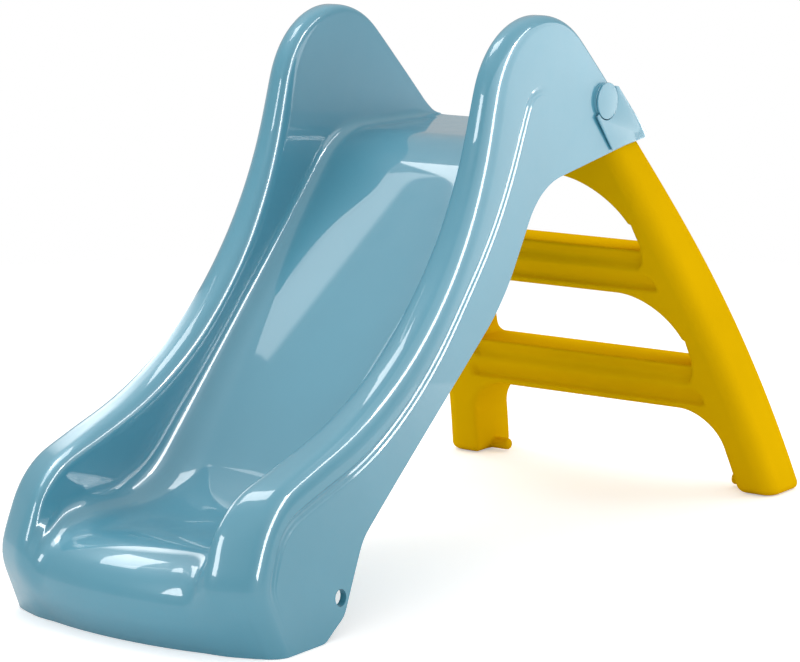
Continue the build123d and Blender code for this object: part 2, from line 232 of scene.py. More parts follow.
# Folding room, pegs and the net over the ladder
fold_angle = math.radians(70)
fold_ceiling = -57.0           # under the hinge, when folded
peg_station = 1105.0
peg_height = 11.0
peg_radius = 8.5
peg_tip = 191.0
peg_tip_round = 4.0
peg_root = 12.0                # into the leg
peg_fillet = 3.0
net_cell = 3.5
net_margin = 8.0
net_probe = 0.2                # half the step over which the field's slope is taken
net_least_slope = 0.2          # square of the least slope that counts
net_pull = 3.0                 # longest pull, times the slope
net_turns = 5                  # of pulling and evening out
net_last_pulls = 3

# Plastics
colour_drift = 0.04            # share by which the colour wanders
colour_drift_scale = 5.0
gloss_drift = 0.15             # share by which the roughness wanders
gloss_drift_scale = 35.0
noise_range = (0.3, 0.7)       # where most values of a noise lie
skin_depth = 0.0004            # metres
coat_roughness = 0.03
coat_index = 1.6

# Studio, in metres
floor_radius = 2.6
floor_fade = (0.5, 0.95)       # shares of that radius between which the floor fades out
floor_tones = (0.90, 0.93)
floor_drop = 0.0005
floor_glow = 0.4
world_light = 0.97
mirrored_heights = [0.0, 0.12, 0.25, 0.6, 0.85]  # upward part of a direction, and the level mirrored there
mirrored_levels = [0.6, 0.5, 0.45, 0.65, 1.0]
panel_distance = 3.2
wall_distance = 1.54
slide_middle = (0.0, 0.0, 0.3)
nose = (-0.56, 0.0, 0.1)
near_skirt = (0.025, -0.19, 0.35)

# Camera
camera_place = (-3.1955, -2.2906, 1.0005)  # metres
camera_dip = 10.3236           # degrees below level
camera_heading = 35.659        # degrees from +X towards +Y
camera_lens = 137.97           # millimetres, as is the width of the sensor
camera_sensor = 36.0


# Shared geometry

def unit(vector):
    return vector / np.linalg.norm(vector)


def ramp(values, start, end):
    """Smooth rise from 0 at start to 1 at end."""
    share = np.clip((values - start) / (end - start), 0, 1)
    return share * share * (3 - 2 * share)


def rounded_route(corners, rounds):
    """Points along straight runs with a round at each inner corner."""
    corners = [np.array(corner, float) for corner in corners]
    points = [corners[0]]
    for before, corner, after, radius in zip(corners, corners[1:], corners[2:], rounds):
        back = unit(before - corner)
        ahead = unit(after - corner)
        half_angle = math.acos(back @ ahead) / 2
        centre = corner + unit(back + ahead) * radius / math.sin(half_angle)
        start = corner + back * radius / math.tan(half_angle) - centre
        end = corner + ahead * radius / math.tan(half_angle) - centre
        for share in np.linspace(0, 1, arc_points):
            points.append(centre + unit(start * (1 - share) + end * share) * radius)
    points.append(corners[-1])
    return np.array(points)


def lengths_along(points):
    """Length from the start of a route to each of its points."""
    steps = np.linalg.norm(np.diff(points, axis=0), axis=1)
    return np.concatenate([[0.0], np.cumsum(steps)])


def points_at(points, marks):
    """Points of a route at given lengths from its start."""
    lengths = lengths_along(points)
    return np.stack([np.interp(marks, lengths, points[:, axis]) for axis in range(points.shape[1])], axis=1)


def eased(values, reach):
    """Values in a row, smoothed over a number of neighbours with the ends kept."""
    span = int(3 * reach)
    weights = np.exp(-0.5 * (np.arange(-span, span + 1) / reach) ** 2)
    lead = 2 * values[0] - values[span:0:-1]
    tail = 2 * values[-1] - values[-2:-span - 2:-1]
    return np.convolve(np.concatenate([lead, values, tail]), weights / weights.sum(), "valid")


def softened(points, reach):
    """The route at even steps, smoothed along its length."""
    total = lengths_along(points)[-1]
    even = points_at(points, np.linspace(0, total, int(total / route_step) + 1))
    return np.stack([eased(even[:, axis], reach / route_step) for axis in range(2)], axis=1)


def length_near(points, target):
    """Length from the start of a route to its point nearest a target."""
    return lengths_along(points)[np.linalg.norm(points - np.array(target, float), axis=1).argmin()]


def normals_of(points):
    """Left-hand normals of a route."""
    runs = np.gradient(points, axis=0)
    runs = runs / np.linalg.norm(runs, axis=1, keepdims=True)
    return np.stack([-runs[:, 1], runs[:, 0]], axis=1)


def placed(points):
    """Stations in millimetres to metres in the frame."""
    points = np.asarray(points, float)
    return (points - np.array([middle, 0, 0])) / 1000


def new_object(name, points, faces, material, crease=sharp_angle):
    """A smooth piece from points at stations, with its edges sharp from an angle in degrees."""
    mesh = bpy.data.meshes.new(name)
    mesh.from_pydata([tuple(point) for point in placed(points)], [], faces)
    mesh.validate()
    mesh.shade_smooth()
    mesh.set_sharp_from_angle(angle=math.radians(crease))
    mesh.materials.append(material)
    piece = bpy.data.objects.new(name, mesh)
    bpy.context.scene.collection.objects.link(piece)
    return piece


def settle(piece):
    """Bakes the modifiers of a piece into its mesh."""
    graph = bpy.context.evaluated_depsgraph_get()
    mesh = bpy.data.meshes.new_from_object(piece.evaluated_get(graph))
    piece.modifiers.clear()
    piece.data = mesh


def grid_faces(rows, columns):
    """Quads between points that are listed row by row."""
    faces = []
    for row in range(rows - 1):
        for column in range(columns - 1):
            corner = row * columns + column
            faces.append((corner, corner + 1, corner + columns + 1, corner + columns))
    return faces


# Materials

def plastic(name, colour, roughness, specular, coat, grain, grain_size):
    """Moulded plastic with faint colour drift, uneven gloss and a fine skin."""
    material = bpy.data.materials.new(name)
    material.use_nodes = True
    nodes = material.node_tree.nodes
    links = material.node_tree.links
    shader = nodes["Principled BSDF"]
    where = nodes.new("ShaderNodeTexCoord")
    drift = nodes.new("ShaderNodeTexNoise")
    drift.inputs["Scale"].default_value = colour_drift_scale
    drift.inputs["Detail"].default_value = 3.0
    shade = nodes.new("ShaderNodeValToRGB")
    tints = (1 - colour_drift, 1 + colour_drift)
    for stop, place, tint in zip(shade.color_ramp.elements, noise_range, tints):
        stop.position = place
        stop.color = tuple(min(1, tint * part) for part in colour) + (1,)
    gloss = nodes.new("ShaderNodeTexNoise")
    gloss.inputs["Scale"].default_value = gloss_drift_scale
    gloss.inputs["Detail"].default_value = 4.0
    spread = nodes.new("ShaderNodeMapRange")
    spread.inputs["From Min"].default_value = noise_range[0]
    spread.inputs["From Max"].default_value = noise_range[1]
    spread.inputs["To Min"].default_value = roughness * (1 - gloss_drift)
    spread.inputs["To Max"].default_value = roughness * (1 + gloss_drift)
    skin = nodes.new("ShaderNodeTexNoise")
    skin.inputs["Scale"].default_value = grain_size
    skin.inputs["Detail"].default_value = 2.0
    bump = nodes.new("ShaderNodeBump")
    bump.inputs["Strength"].default_value = grain
    bump.inputs["Distance"].default_value = skin_depth
    for texture in (drift, gloss, skin):
        links.new(where.outputs["Object"], texture.inputs["Vector"])
    links.new(drift.outputs["Fac"], shade.inputs["Fac"])
    links.new(shade.outputs["Color"], shader.inputs["Base Color"])
    links.new(gloss.outputs["Fac"], spread.inputs["Value"])
    links.new(spread.outputs["Result"], shader.inputs["Roughness"])
    links.new(skin.outputs["Fac"], bump.inputs["Height"])
    links.new(bump.outputs["Normal"], shader.inputs["Normal"])
    shader.inputs["Specular IOR Level"].default_value = specular
    shader.inputs["Coat Weight"].default_value = coat
    shader.inputs["Coat Roughness"].default_value = coat_roughness
    shader.inputs["Coat IOR"].default_value = coat_index
    return material


chute_blue = plastic(
    "Chute_blue", (0.0735, 0.30, 0.411),
    roughness=0.40, specular=0.4, coat=1.0, grain=0.02, grain_size=260.0,
)
ladder_yellow = plastic(
    "Ladder_yellow", (0.71, 0.42, 0.001),
    roughness=0.55, specular=0.0, coat=0.0, grain=0.12, grain_size=420.0,
)
clip_grey = plastic(
    "Clip_grey", (0.35, 0.36, 0.37),
    roughness=0.4, specular=0.5, coat=0.0, grain=0.1, grain_size=500.0,
)


# Chute

def skirt_at(height):
    """Half width over the outside of the skirts."""
    flare = skirt_flare * np.clip(1 - height / flare_height, 0, 1) ** 2
    return skirt_half_width - skirt_lean * height + flare


def wall_at(height):
    """Half width between the inner walls."""
    return wall_half_width + wall_lean * height


def front_plan(half_width):
    """How far the front lies behind its middle, seen from above."""
    return front_bend * half_width ** 2 + front_corner_bend * half_width ** 4


def front_shift(points, half_width, reference):
    """Follows the curved front in plan, fading out behind the nose."""
    fade = 1 - ramp(points[:, 0], 0, front_fade)
    return fade * (front_plan(half_width) - front_plan(reference))


class ChuteRows:
    """Lines and sizes of the chute at each row across it."""

    def __init__(self):
        lines = [
            softened(rounded_route(crest_corners, crest_rounds), crest_softness),
            softened(rounded_route(edge_corners, edge_rounds), edge_softness),
            softened(rounded_route(bed_corners, bed_rounds), bed_softness),
        ]
        marks = [[length_near(line, match[index]) for match in matches] for index, line in enumerate(lines)]
        rows = np.linspace(0, marks[0][-1], int(marks[0][-1] / row_spacing))

        def along(values):
            return eased(np.interp(rows, marks[0], values), row_ease)

        crest, edge, bed = [points_at(line, along(mark)) for line, mark in zip(lines, marks)]
        level = np.array([-1.0, 0.0])
        crest_share = ramp(crest[:, 1], 0, crest_upright)[:, None]
        bed_share = ramp(bed[:, 1], 0, bed_upright)[:, None]
        self.crest = crest
        self.edge = edge
        self.bed = bed
        self.up = normals_of(crest) * crest_share + level * (1 - crest_share)
        self.up = self.up / np.linalg.norm(self.up, axis=1, keepdims=True)
        self.bed_up = normals_of(bed) * bed_share + level * (1 - bed_share)
        self.bed_up = self.bed_up / np.linalg.norm(self.bed_up, axis=1, keepdims=True)
        self.outer_round = along(outer_rounds)
        self.groove_place = along(groove_places)
        self.groove_width = along(groove_widths)
        self.groove_depth = along(groove_depths)
        reach = np.linalg.norm(edge - crest, axis=1)
        groove_foot = self.groove_place + groove_reach * self.groove_width
        self.skirt_top = np.minimum(groove_foot, skirt_share * reach)
        shifted = crest.copy()
        shifted[:, 0] += front_shift(crest, bed_reference, rail_reference)
        depth = np.maximum(least_depth, ((shifted - bed) * self.up).sum(axis=1))
        self.crown = np.minimum(along(crown_depths), crown_share * depth)
        self.fillet = np.minimum(along(fillet_heights), fillet_share * depth)
        self.foot = along(fillet_widths)
        self.soft = (1 - ramp(depth, 0, pilaster_depth)) * (1 - ramp(crest[:, 0], *pilaster_end))


def soft_turn(count):
    """A quarter turn that starts and ends gently: how far along its first and its second side."""
    steps = 400
    angle = ramp(np.linspace(0, 1, steps + 1), 0, 1) * math.pi / 2
    first = np.cumsum(np.cos(angle))
    second = np.cumsum(np.sin(angle))
    picks = np.linspace(0, steps, count).astype(int)
    return list(zip(first[picks] / first[-1], second[picks] / second[-1]))[1:]


def chute_half(rows):
    """Columns of the sheet from the lower edge of a skirt to the middle of the bed."""
    columns = []

    def column(side, half_width, reference):
        shift = front_shift(side, half_width, reference)
        return np.stack([side[:, 0] + shift, half_width, side[:, 1]], axis=1)

    def add(side, half_width, reference):
        columns.append(column(side, half_width, reference))

    def skirt_side(depth):
        return rows.crest - rows.up * depth[:, None]

    # Skirt, up to the groove
    skirt_top = skirt_side(rows.skirt_top)
    for share in np.linspace(0, 1, skirt_columns)[:-1]:
        side = rows.edge * (1 - share) + skirt_top * share
        add(side, skirt_at(side[:, 1]), rail_reference)
    # Groove
    groove_end = rows.groove_place - groove_reach * rows.groove_width
    groove_end = np.maximum(groove_end, rows.outer_round + least_strip)
    corners, levels = np.array(groove_profile).T
    inner = corners[1:-1]
    stops = [*corners, *(inner - groove_edge), *(inner + groove_edge)]
    for across in sorted(stops, reverse=True):
        share = (corners[-1] - across) / (corners[-1] - corners[0])
        place = rows.skirt_top * (1 - share) + groove_end * share
        sunk = rows.groove_depth * np.interp(across, corners, levels)
        side = skirt_side(place)
        add(side, skirt_at(side[:, 1]) - sunk, rail_reference)
    # Outer round of the rail, then its flat crest
    for angle in np.linspace(0, math.pi / 2, rail_columns):
        side = skirt_side(rows.outer_round * (1 - math.sin(angle)))
        add(side, skirt_at(side[:, 1]) - rows.outer_round * (1 - math.cos(angle)), rail_reference)
    flat_start = skirt_at(rows.crest[:, 1]) - rows.outer_round
    wall_end = wall_at(rows.crest[:, 1])
    crown_width = crown_ratio * rows.crown + pilaster_width * rows.soft
    crown_width = np.minimum(crown_width, flat_start - wall_end - least_strip)
    flat_end = wall_end + crown_width
    for share in np.linspace(0, 1, flat_columns)[1:]:
        add(rows.crest, flat_start + (flat_end - flat_start) * share, rail_reference)
    # Inner crown, inner wall and the fillet at its foot
    first_sunk = len(columns)
    for across, drop in soft_turn(crown_columns):
        side = skirt_side(rows.crown * drop)
        add(side, wall_at(side[:, 1]) + crown_width * (1 - across), rail_reference)
    wall_top = skirt_side(rows.crown)
    wall_top[:, 0] += front_shift(wall_top, bed_reference, rail_reference)
    wall_foot = rows.bed + rows.bed_up * rows.fillet[:, None]
    for share in np.linspace(0, 1, wall_columns)[1:]:
        side = wall_top * (1 - share) + wall_foot * share
        add(side, wall_at(side[:, 1]), bed_reference)
    for drop, across in soft_turn(fillet_columns):
        side = rows.bed + rows.bed_up * (rows.fillet * (1 - drop))[:, None]
        add(side, wall_at(side[:, 1]) - rows.foot * across, bed_reference)
    edge_of_bed = wall_at(rows.bed[:, 1]) - rows.foot
    # By the nose these three sink into one slope from the crest to the bed
    last_sunk = len(columns)
    for index in range(first_sunk, last_sunk):
        share = (index + 1 - first_sunk) / (last_sunk - first_sunk)
        half_width = flat_end * (1 - share) + edge_of_bed * share
        on_crest = column(rows.crest, half_width, rail_reference)
        on_bed = column(rows.bed, half_width, bed_reference)
        slope = on_crest + (on_bed - on_crest) * ramp(share, 0, 1)
        columns[index] = columns[index] + (slope - columns[index]) * rows.soft[:, None]
    # Bed
    for share in np.linspace(0, 1, bed_columns)[1:]:
        add(rows.bed, edge_of_bed * (1 - share), bed_reference)
    return np.stack(columns, axis=1)


def chute_sheet():
    """Points and faces of the whole sheet, with the rear of the deck turned down."""
    half = chute_half(ChuteRows())
    mirrored = half[:, -2::-1] * np.array([1, -1, 1])
    sheet = np.concatenate([half, mirrored], axis=1)
    drops = []
    for share in (0.25, 1.0):
        row = sheet[-1].copy()
        row[:, 2] = row[:, 2] + (deck_bottom - row[:, 2]) * share
        drops.append(row)
    sheet = np.concatenate([sheet, np.array(drops)], axis=0)
    faces = grid_faces(sheet.shape[0], sheet.shape[1])
    return sheet.reshape(-1, 3), faces


def cut_anchor_holes(mesh):
    """Takes out the faces round each anchor hole and closes the gap up to a true circle."""
    work = bmesh.new()
    work.from_mesh(mesh)
    centre = Vector(placed((anchor_station, 0, anchor_height)))
    reach = (anchor_radius + anchor_margin) / 1000

    def near(vert, side):
        return vert.co.y * side > 0 and math.hypot(vert.co.x - centre.x, vert.co.z - centre.z) < reach

    for side in (1, -1):
        taken = {face for face in work.faces if any(near(vert, side) for vert in face.verts)}
        rim = [edge for edge in work.edges if sum(face in taken for face in edge.link_faces) == 1]
        bmesh.ops.delete(work, geom=list(taken), context="FACES_ONLY")
        ring = []
        for index in range(hole_sides):
            angle = 2 * math.pi * index / hole_sides
            height = anchor_height + anchor_radius * math.sin(angle)
            spot = (anchor_station + anchor_radius * math.cos(angle), side * skirt_at(height), height)
            ring.append(work.verts.new(placed(spot)))
        circle = [work.edges.new((ring[index - 1], ring[index])) for index in range(hole_sides)]
        bmesh.ops.bridge_loops(work, edges=rim + circle)
    loose = [edge for edge in work.edges if not edge.link_faces]
    bmesh.ops.delete(work, geom=loose, context="EDGES")
    loose = [vert for vert in work.verts if not vert.link_faces]
    bmesh.ops.delete(work, geom=loose, context="VERTS")
    bmesh.ops.recalc_face_normals(work, faces=work.faces)
    top = max(work.faces, key=lambda face: face.calc_center_median().z)
    if top.normal.z < 0:
        bmesh.ops.reverse_faces(work, faces=work.faces)
    work.to_mesh(mesh)
    work.free()


def turned_piece(profile, station, height, side):
    """Points and faces of a profile (radius, across) turned about a line along Y."""
    points = []
    faces = []
    length = len(profile)
    for index in range(turned_sides):
        angle = 2 * math.pi * index / turned_sides
        for radius, across in profile:
            rise = radius * math.sin(angle)
            points.append((station + radius * math.cos(angle), side * across, height + rise))
        following = (index + 1) % turned_sides
        for step in range(length - 1):
            face = (index * length + step, index * length + step + 1,
                    following * length + step + 1, following * length + step)
            faces.append(face if side > 0 else face[::-1])
    return points, faces


def joined(parts):
    """Points and faces of several shapes as one."""
    points = []
    faces = []
    for part_points, part_faces in parts:
        base = len(points)
        points.extend(tuple(point) for point in part_points)
        faces.extend(tuple(index + base for index in face) for face in part_faces)
    return points, faces


def rounded_end(radius, across, round_size):
    """Profile points from the rim of a disc round onto its flat face and in to its middle."""
    points = []
    for angle in np.linspace(0, math.pi / 2, rim_points):
        inset = round_size * (1 - math.cos(angle))
        points.append((radius - inset, across - round_size * (1 - math.sin(angle))))
    points.append((0.0, across))
    return points


def build_chute():
    """The sheet with its thickness, the collars of the anchor holes and the pads of the hinges."""
    points, faces = chute_sheet()
    chute = new_object("Chute", points, faces, chute_blue)
    cut_anchor_holes(chute.data)
    thicken = chute.modifiers.new("Thickness", "SOLIDIFY")
    thicken.thickness = sheet_thickness / 1000
    thicken.offset = -1
    settle(chute)
    for vert in chute.data.vertices:
        vert.co.z = max(vert.co.z, 0.0)
    extras = []
    hole_face = skirt_at(anchor_height) - collar_sink
    collar_outer = anchor_radius + collar_wall
    collar = [(collar_outer, hole_face - collar_lead), (collar_outer, hole_face - anchor_depth),
              (anchor_radius, hole_face - anchor_depth), (anchor_radius, hole_face)]
    pad = [(pad_radius, pad_face - pad_height)] + rounded_end(pad_radius, pad_face, pad_round)
    for side in (1, -1):
        extras.append(turned_piece(collar, anchor_station, anchor_height, side))
        extras.append(turned_piece(pad, hinge_station, hinge_height, side))
    extra = new_object("Chute_extras", *joined(extras), chute_blue)
    merge = bmesh.new()
    merge.from_mesh(chute.data)
    merge.from_mesh(extra.data)
    merge.to_mesh(chute.data)
    merge.free()
    bpy.data.objects.remove(extra)
    chute.data.shade_smooth()
    chute.data.set_sharp_from_angle(angle=math.radians(sharp_angle))
    return chute


# Ladder, as a smooth field that is negative inside

def round_both(first, second, radius):
    """Overlap of two fields with a round along their outer edge."""
    over_first = np.maximum(first + radius, 0)
    over_second = np.maximum(second + radius, 0)
    return np.minimum(np.maximum(first, second), -radius) + np.hypot(over_first, over_second)


def round_either(first, second, radius):
    """Union of two fields with a fillet between them."""
    under_first = np.maximum(radius - first, 0)
    under_second = np.maximum(radius - second, 0)
    return np.maximum(np.minimum(first, second), radius) - np.hypot(under_first, under_second)


def bow(start, lean, side):
    """Centre and radius of the arc that leaves start at a lean and runs tangent to the tongue."""
    hinge = np.array([hinge_station, hinge_height])
    inwards = np.array([-math.cos(lean), -math.sin(lean)])
    gap = np.array(start) - hinge
    radius = (gap @ gap - tongue_radius ** 2) / (2 * (side * tongue_radius - gap @ inwards))
    return np.array(start) + inwards * radius, radius


front_centre, front_radius = bow(foot_front, foot_front_lean, 1)
rear_centre, rear_radius = bow(foot_rear, foot_rear_lean, -1)
leg_up = unit(np.array([hinge_station, hinge_height]) - (np.array(foot_front) + np.array(foot_rear)) / 2)


def leg_inner(height):
    """Half width between the legs."""
    return foot_inner - leg_inner_slope * height


def inside_end(half, end, fade):
    """1 inside an end and 0 past it, with a soft step between."""
    return 1 - ramp(half, end - fade[0], end + fade[1])


def step_hollow(half, height):
    """How far the front of a step is sunk: under its tread, and again under its rolled edge."""
    sunk = 0.0 * (half + height)
    for tread in tread_heights:
        drop = tread - height
        upper = upper_depth + upper_gain * ramp(drop, 0, upper_gain_drop)
        upper = upper * (1 - ramp(drop, *upper_close))
        upper = np.where(drop > -upper_above, upper, 0)
        upper_run = np.clip(drop / upper_bend_drop, 0, upper_bend_limit)
        upper_end = leg_inner(tread) - upper_inset - upper_bend * upper_run ** 2
        lower = lower_depth * ramp(drop, *lower_open) * (1 - ramp(drop, *lower_close))
        lower_run = np.clip((lower_bend_start - drop) / lower_bend_run, 0, 1)
        lower_end = leg_inner(height) - lower_inset - lower_bend * lower_run ** 2
        sunk = sunk + upper * inside_end(half, upper_end, upper_fade)
        sunk = sunk + lower * inside_end(half, lower_end, lower_fade)
    return sunk


def ladder_field(x, y, z):
    """The whole ladder: bowed legs with tongues, room for the deck, openings between the steps, and pegs."""
    # Legs and tongues
    half = np.abs(y)
    front = front_radius - np.hypot(x - front_centre[0], z - front_centre[1])
    rear = np.hypot(x - rear_centre[0], z - rear_centre[1]) - rear_radius
    above = (x - hinge_station) * leg_up[0] + (z - hinge_height) * leg_up[1]
    tongue = np.hypot(x - hinge_station, z - hinge_height) - tongue_radius
    splay = (foot_outer - leg_top_outer) / leg_bend_height
    fall = leg_bend_softness * np.logaddexp(0, (leg_bend_height - z) / leg_bend_softness)
    outer = (half - leg_top_outer - splay * fall) / math.hypot(1, splay)
    hollowed = front + step_hollow(half, z)
    sides = round_both(round_both(hollowed, outer, leg_front_round), rear, leg_edge_round)
    sides = np.maximum(sides, round_both(rear, outer, leg_rear_round))
    upper = round_both(tongue, outer, leg_edge_round)
    solid = np.minimum(np.maximum(sides, above), upper)
    # Room for the deck between the tongues, as it stands and as it is folded
    gap = np.maximum(half - tongue_inner, bridge_height - z)
    solid = round_both(solid, -gap, tongue_gap_round)
    folded_height = (z - hinge_height) * math.cos(fold_angle) - (x - hinge_station) * math.sin(fold_angle)
    gap = np.maximum(half - tongue_inner, fold_ceiling - folded_height)
    solid = round_both(solid, -gap, tongue_gap_round)
    # Openings between the steps
    sills = [lowest_sill] + tread_heights
    heads = [tread - step_thickness for tread in tread_heights] + [arch_height]
    slant = math.hypot(1, leg_inner_slope)
    for sill, head, radius in zip(sills, heads, opening_rounds):
        opening = round_both((half - leg_inner(z)) / slant, z - head, radius)
        opening = round_both(opening, sill - z, opening_sill_round)
        solid = round_both(solid, -opening, opening_edge_round)
    # Feet and pegs
    solid = round_both(solid, -z, foot_round)
    peg = np.hypot(x - peg_station, z - peg_height) - peg_radius
    peg = round_both(peg, peg_tip - half, peg_tip_round)
    peg = np.maximum(peg, half - foot_inner - peg_root)
    return round_either(solid, peg, peg_fillet)


def surface_net(field, low, high, cell):
    """Quads over the zero surface of a field, with their corners drawn onto it."""
    axes = [np.arange(start, end + cell, cell) for start, end in zip(low, high)]
    values = field(axes[0][:, None, None], axes[1][None, :, None], axes[2][None, None, :])
    inside = values < 0
    counts = inside.astype(np.int8)
    for axis in range(3):
        count = counts.shape[axis]
        counts = np.take(counts, range(count - 1), axis) + np.take(counts, range(1, count), axis)
    active = (counts > 0) & (counts < 8)
    index = np.full(active.shape, -1)
    index[active] = np.arange(active.sum())
    cells = np.argwhere(active)
    points = low + (cells + 0.5) * cell
    quads = []
    for axis in range(3):
        first = np.take(inside, range(inside.shape[axis] - 1), axis)
        second = np.take(inside, range(1, inside.shape[axis]), axis)
        change = np.argwhere(first != second)
        sides = [other for other in range(3) if other != axis]
        change = change[(change[:, sides] > 0).all(axis=1)]
        corners = []
        for back_first, back_second in ((1, 1), (0, 1), (0, 0), (1, 0)):
            spot = change.copy()
            spot[:, sides[0]] -= back_first
            spot[:, sides[1]] -= back_second
            corners.append(index[spot[:, 0], spot[:, 1], spot[:, 2]])
        quad = np.stack(corners, axis=1)
        flip = first[change[:, 0], change[:, 1], change[:, 2]] == (axis == 1)
        quad[flip] = quad[flip][:, ::-1]
        quads.append(quad)
    quads = np.concatenate(quads)
    return drawn_on(field, points, quads), quads


def drawn_on(field, points, quads):
    """Evens out the corners of a net and draws them onto the zero surface."""
    def pulled(points):
        value = field(points[:, 0], points[:, 1], points[:, 2])
        slope = np.zeros_like(points)
        for axis in range(3):
            ahead = points.copy()
            behind = points.copy()
            ahead[:, axis] += net_probe
            behind[:, axis] -= net_probe
            slope[:, axis] = (field(*ahead.T) - field(*behind.T)) / (2 * net_probe)
        size = np.maximum((slope ** 2).sum(axis=1), net_least_slope)
        step = np.clip(value / size, -net_pull, net_pull)
        return points - slope * step[:, None]

    starts = quads.ravel()
    ends = np.roll(quads, -1, axis=1).ravel()
    degree = np.bincount(starts, minlength=len(points)) + np.bincount(ends, minlength=len(points))
    for turn in range(net_turns):
        points = pulled(pulled(points))
        total = np.zeros_like(points)
        for axis in range(3):
            total[:, axis] = np.bincount(starts, points[ends, axis], len(points))
            total[:, axis] += np.bincount(ends, points[starts, axis], len(points))
        points = 0.5 * points + 0.5 * total / degree[:, None]
    for turn in range(net_last_pulls):
        points = pulled(points)
    return points


def build_ladder():
    """The ladder as one net over its field."""
    low = np.array([hinge_station - tongue_radius, -foot_outer, 0.0]) - net_margin
    high = np.array([foot_rear[0], foot_outer, hinge_height + tongue_radius]) + net_margin
    points, quads = surface_net(ladder_field, low, high, net_cell)
    faces = [tuple(int(corner) for corner in quad) for quad in quads]
    return new_object("Ladder", points, faces, ladder_yellow, ladder_sharp_angle)


# Hinge pieces

def circle_crossing(inner, outer, radius):
    """Where the run from a point inside a circle about the axis to one outside meets the circle."""
    inner = np.array(inner, float)
    run = np.array(outer, float) - inner
    along = inner @ run
    size = run @ run
    share = (-along + math.sqrt(along ** 2 - size * (inner @ inner - radius ** 2))) / size
    return inner + run * share


def build_plate(name, side):
    """A hinge flap, notched round the disc and rounded along its edges."""
    start = circle_crossing(plate_corners[0], plate_corners[1], plate_notch)
    end = circle_crossing(plate_corners[0], plate_corners[-1], plate_notch)
    first = math.atan2(end[1], end[0])
    last = math.atan2(start[1], start[0])
    first = first - 2 * math.pi if first > last else first
    outline = list(plate_corners[1:])
    for angle in np.linspace(first, last, notch_points):
        outline.append((plate_notch * math.cos(angle), plate_notch * math.sin(angle)))
    count = len(outline)
    points = []
    for across in (plate_inner, plate_outer):
        for x, z in outline:
            points.append((hinge_station + x, side * across, hinge_height + z))
    faces = [tuple(range(count)), tuple(range(2 * count - 1, count - 1, -1))]
    for index in range(count):
        following = (index + 1) % count
        faces.append((index, index + count, following + count, following))
    plate = new_object(name, points, faces, chute_blue)
    work = bmesh.new()
    work.from_mesh(plate.data)
    bmesh.ops.recalc_face_normals(work, faces=work.faces)
    sharp = [edge for edge in work.edges if edge.calc_face_angle() > math.radians(plate_edge_angle)]
    bmesh.ops.bevel(work, geom=sharp, offset=plate_round / 1000, segments=3, profile=0.5, affect="EDGES")
    work.to_mesh(plate.data)
    work.free()
    plate.data.shade_smooth()
    plate.data.set_sharp_from_angle(angle=math.radians(sharp_angle))
    return plate


def build_pin(name, side):
    """A hinge pin with its disc."""
    profile = [(0.0, tongue_inner), (pin_radius, tongue_inner), (pin_radius, leg_top_outer),
               (journal_radius, leg_top_outer), (journal_radius, disc_inner), (disc_radius, disc_inner)]
    profile = profile + rounded_end(disc_radius, disc_outer, disc_round)
    points, faces = turned_piece(profile, hinge_station, hinge_height, side)
    return new_object(name, points, faces, chute_blue, pin_sharp_angle)


# Put together

def show(piece, body, slot, *nodes):
    """Puts a piece on its body, in place of its plain nodes."""
    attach(piece, body)
    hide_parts(*nodes)


show(build_chute(), "chute", "chute_blue", "slide_chute")
show(build_ladder(), "ladder", "ladder_yellow", "ladder_frame")
for hand, side in (("left", 1), ("right", -1)):
    show(build_plate("Hinge_plate_" + hand, side), "ladder", "chute_blue", "hinge_plate_" + hand)
    show(build_pin("Hinge_pin_" + hand, side), "ladder", "chute_blue", "hinge_pin_" + hand)
    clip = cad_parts["hinge_clip_" + hand]
    clip.data.materials.clear()
    clip.data.materials.append(clip_grey)


# Stage, light and camera

def floor_material():
    """White floor that fades out well away from the slide. The camera also sees a little glow on it."""
    material = bpy.data.materials.new("Floor_white")
    material.use_nodes = True
    nodes = material.node_tree.nodes
    links = material.node_tree.links
    shader = nodes["Principled BSDF"]
    shader.inputs["Roughness"].default_value = 0.9
    shader.inputs["Specular IOR Level"].default_value = 0.0
    shader.inputs["Emission Color"].default_value = (1, 1, 1, 1)
    rays = nodes.new("ShaderNodeLightPath")
    glow = nodes.new("ShaderNodeMath")
    glow.operation = "MULTIPLY"
    glow.inputs[1].default_value = floor_glow
    links.new(rays.outputs["Is Camera Ray"], glow.inputs[0])
    links.new(glow.outputs["Value"], shader.inputs["Emission Strength"])
    where = nodes.new("ShaderNodeTexCoord")
    cloud = nodes.new("ShaderNodeTexNoise")
    cloud.inputs["Scale"].default_value = 1.5
    tone = nodes.new("ShaderNodeValToRGB")
    for stop, level in zip(tone.color_ramp.elements, floor_tones):
        stop.color = (level, level, level, 1)
    reach = nodes.new("ShaderNodeVectorMath")
    reach.operation = "LENGTH"
    fade = nodes.new("ShaderNodeMapRange")
    fade.inputs["From Min"].default_value = floor_radius * floor_fade[0]
    fade.inputs["From Max"].default_value = floor_radius * floor_fade[1]
    fade.inputs["To Min"].default_value = 1.0
    fade.inputs["To Max"].default_value = 0.0
    links.new(where.outputs["Object"], cloud.inputs["Vector"])
    links.new(where.outputs["Object"], reach.inputs[0])
    links.new(cloud.outputs["Fac"], tone.inputs["Fac"])
    links.new(tone.outputs["Color"], shader.inputs["Base Color"])
    links.new(reach.outputs["Value"], fade.inputs["Value"])
    links.new(fade.outputs["Result"], shader.inputs["Alpha"])
    return material


def build_floor():
    points = []
    for index in range(floor_sides):
        angle = 2 * math.pi * index / floor_sides
        spot = (floor_radius * math.cos(angle), floor_radius * math.sin(angle), -floor_drop)
        points.append(np.array(spot) * 1000 + np.array([middle, 0, 0]))
    return new_object("Floor", points, [tuple(range(floor_sides))], floor_material())


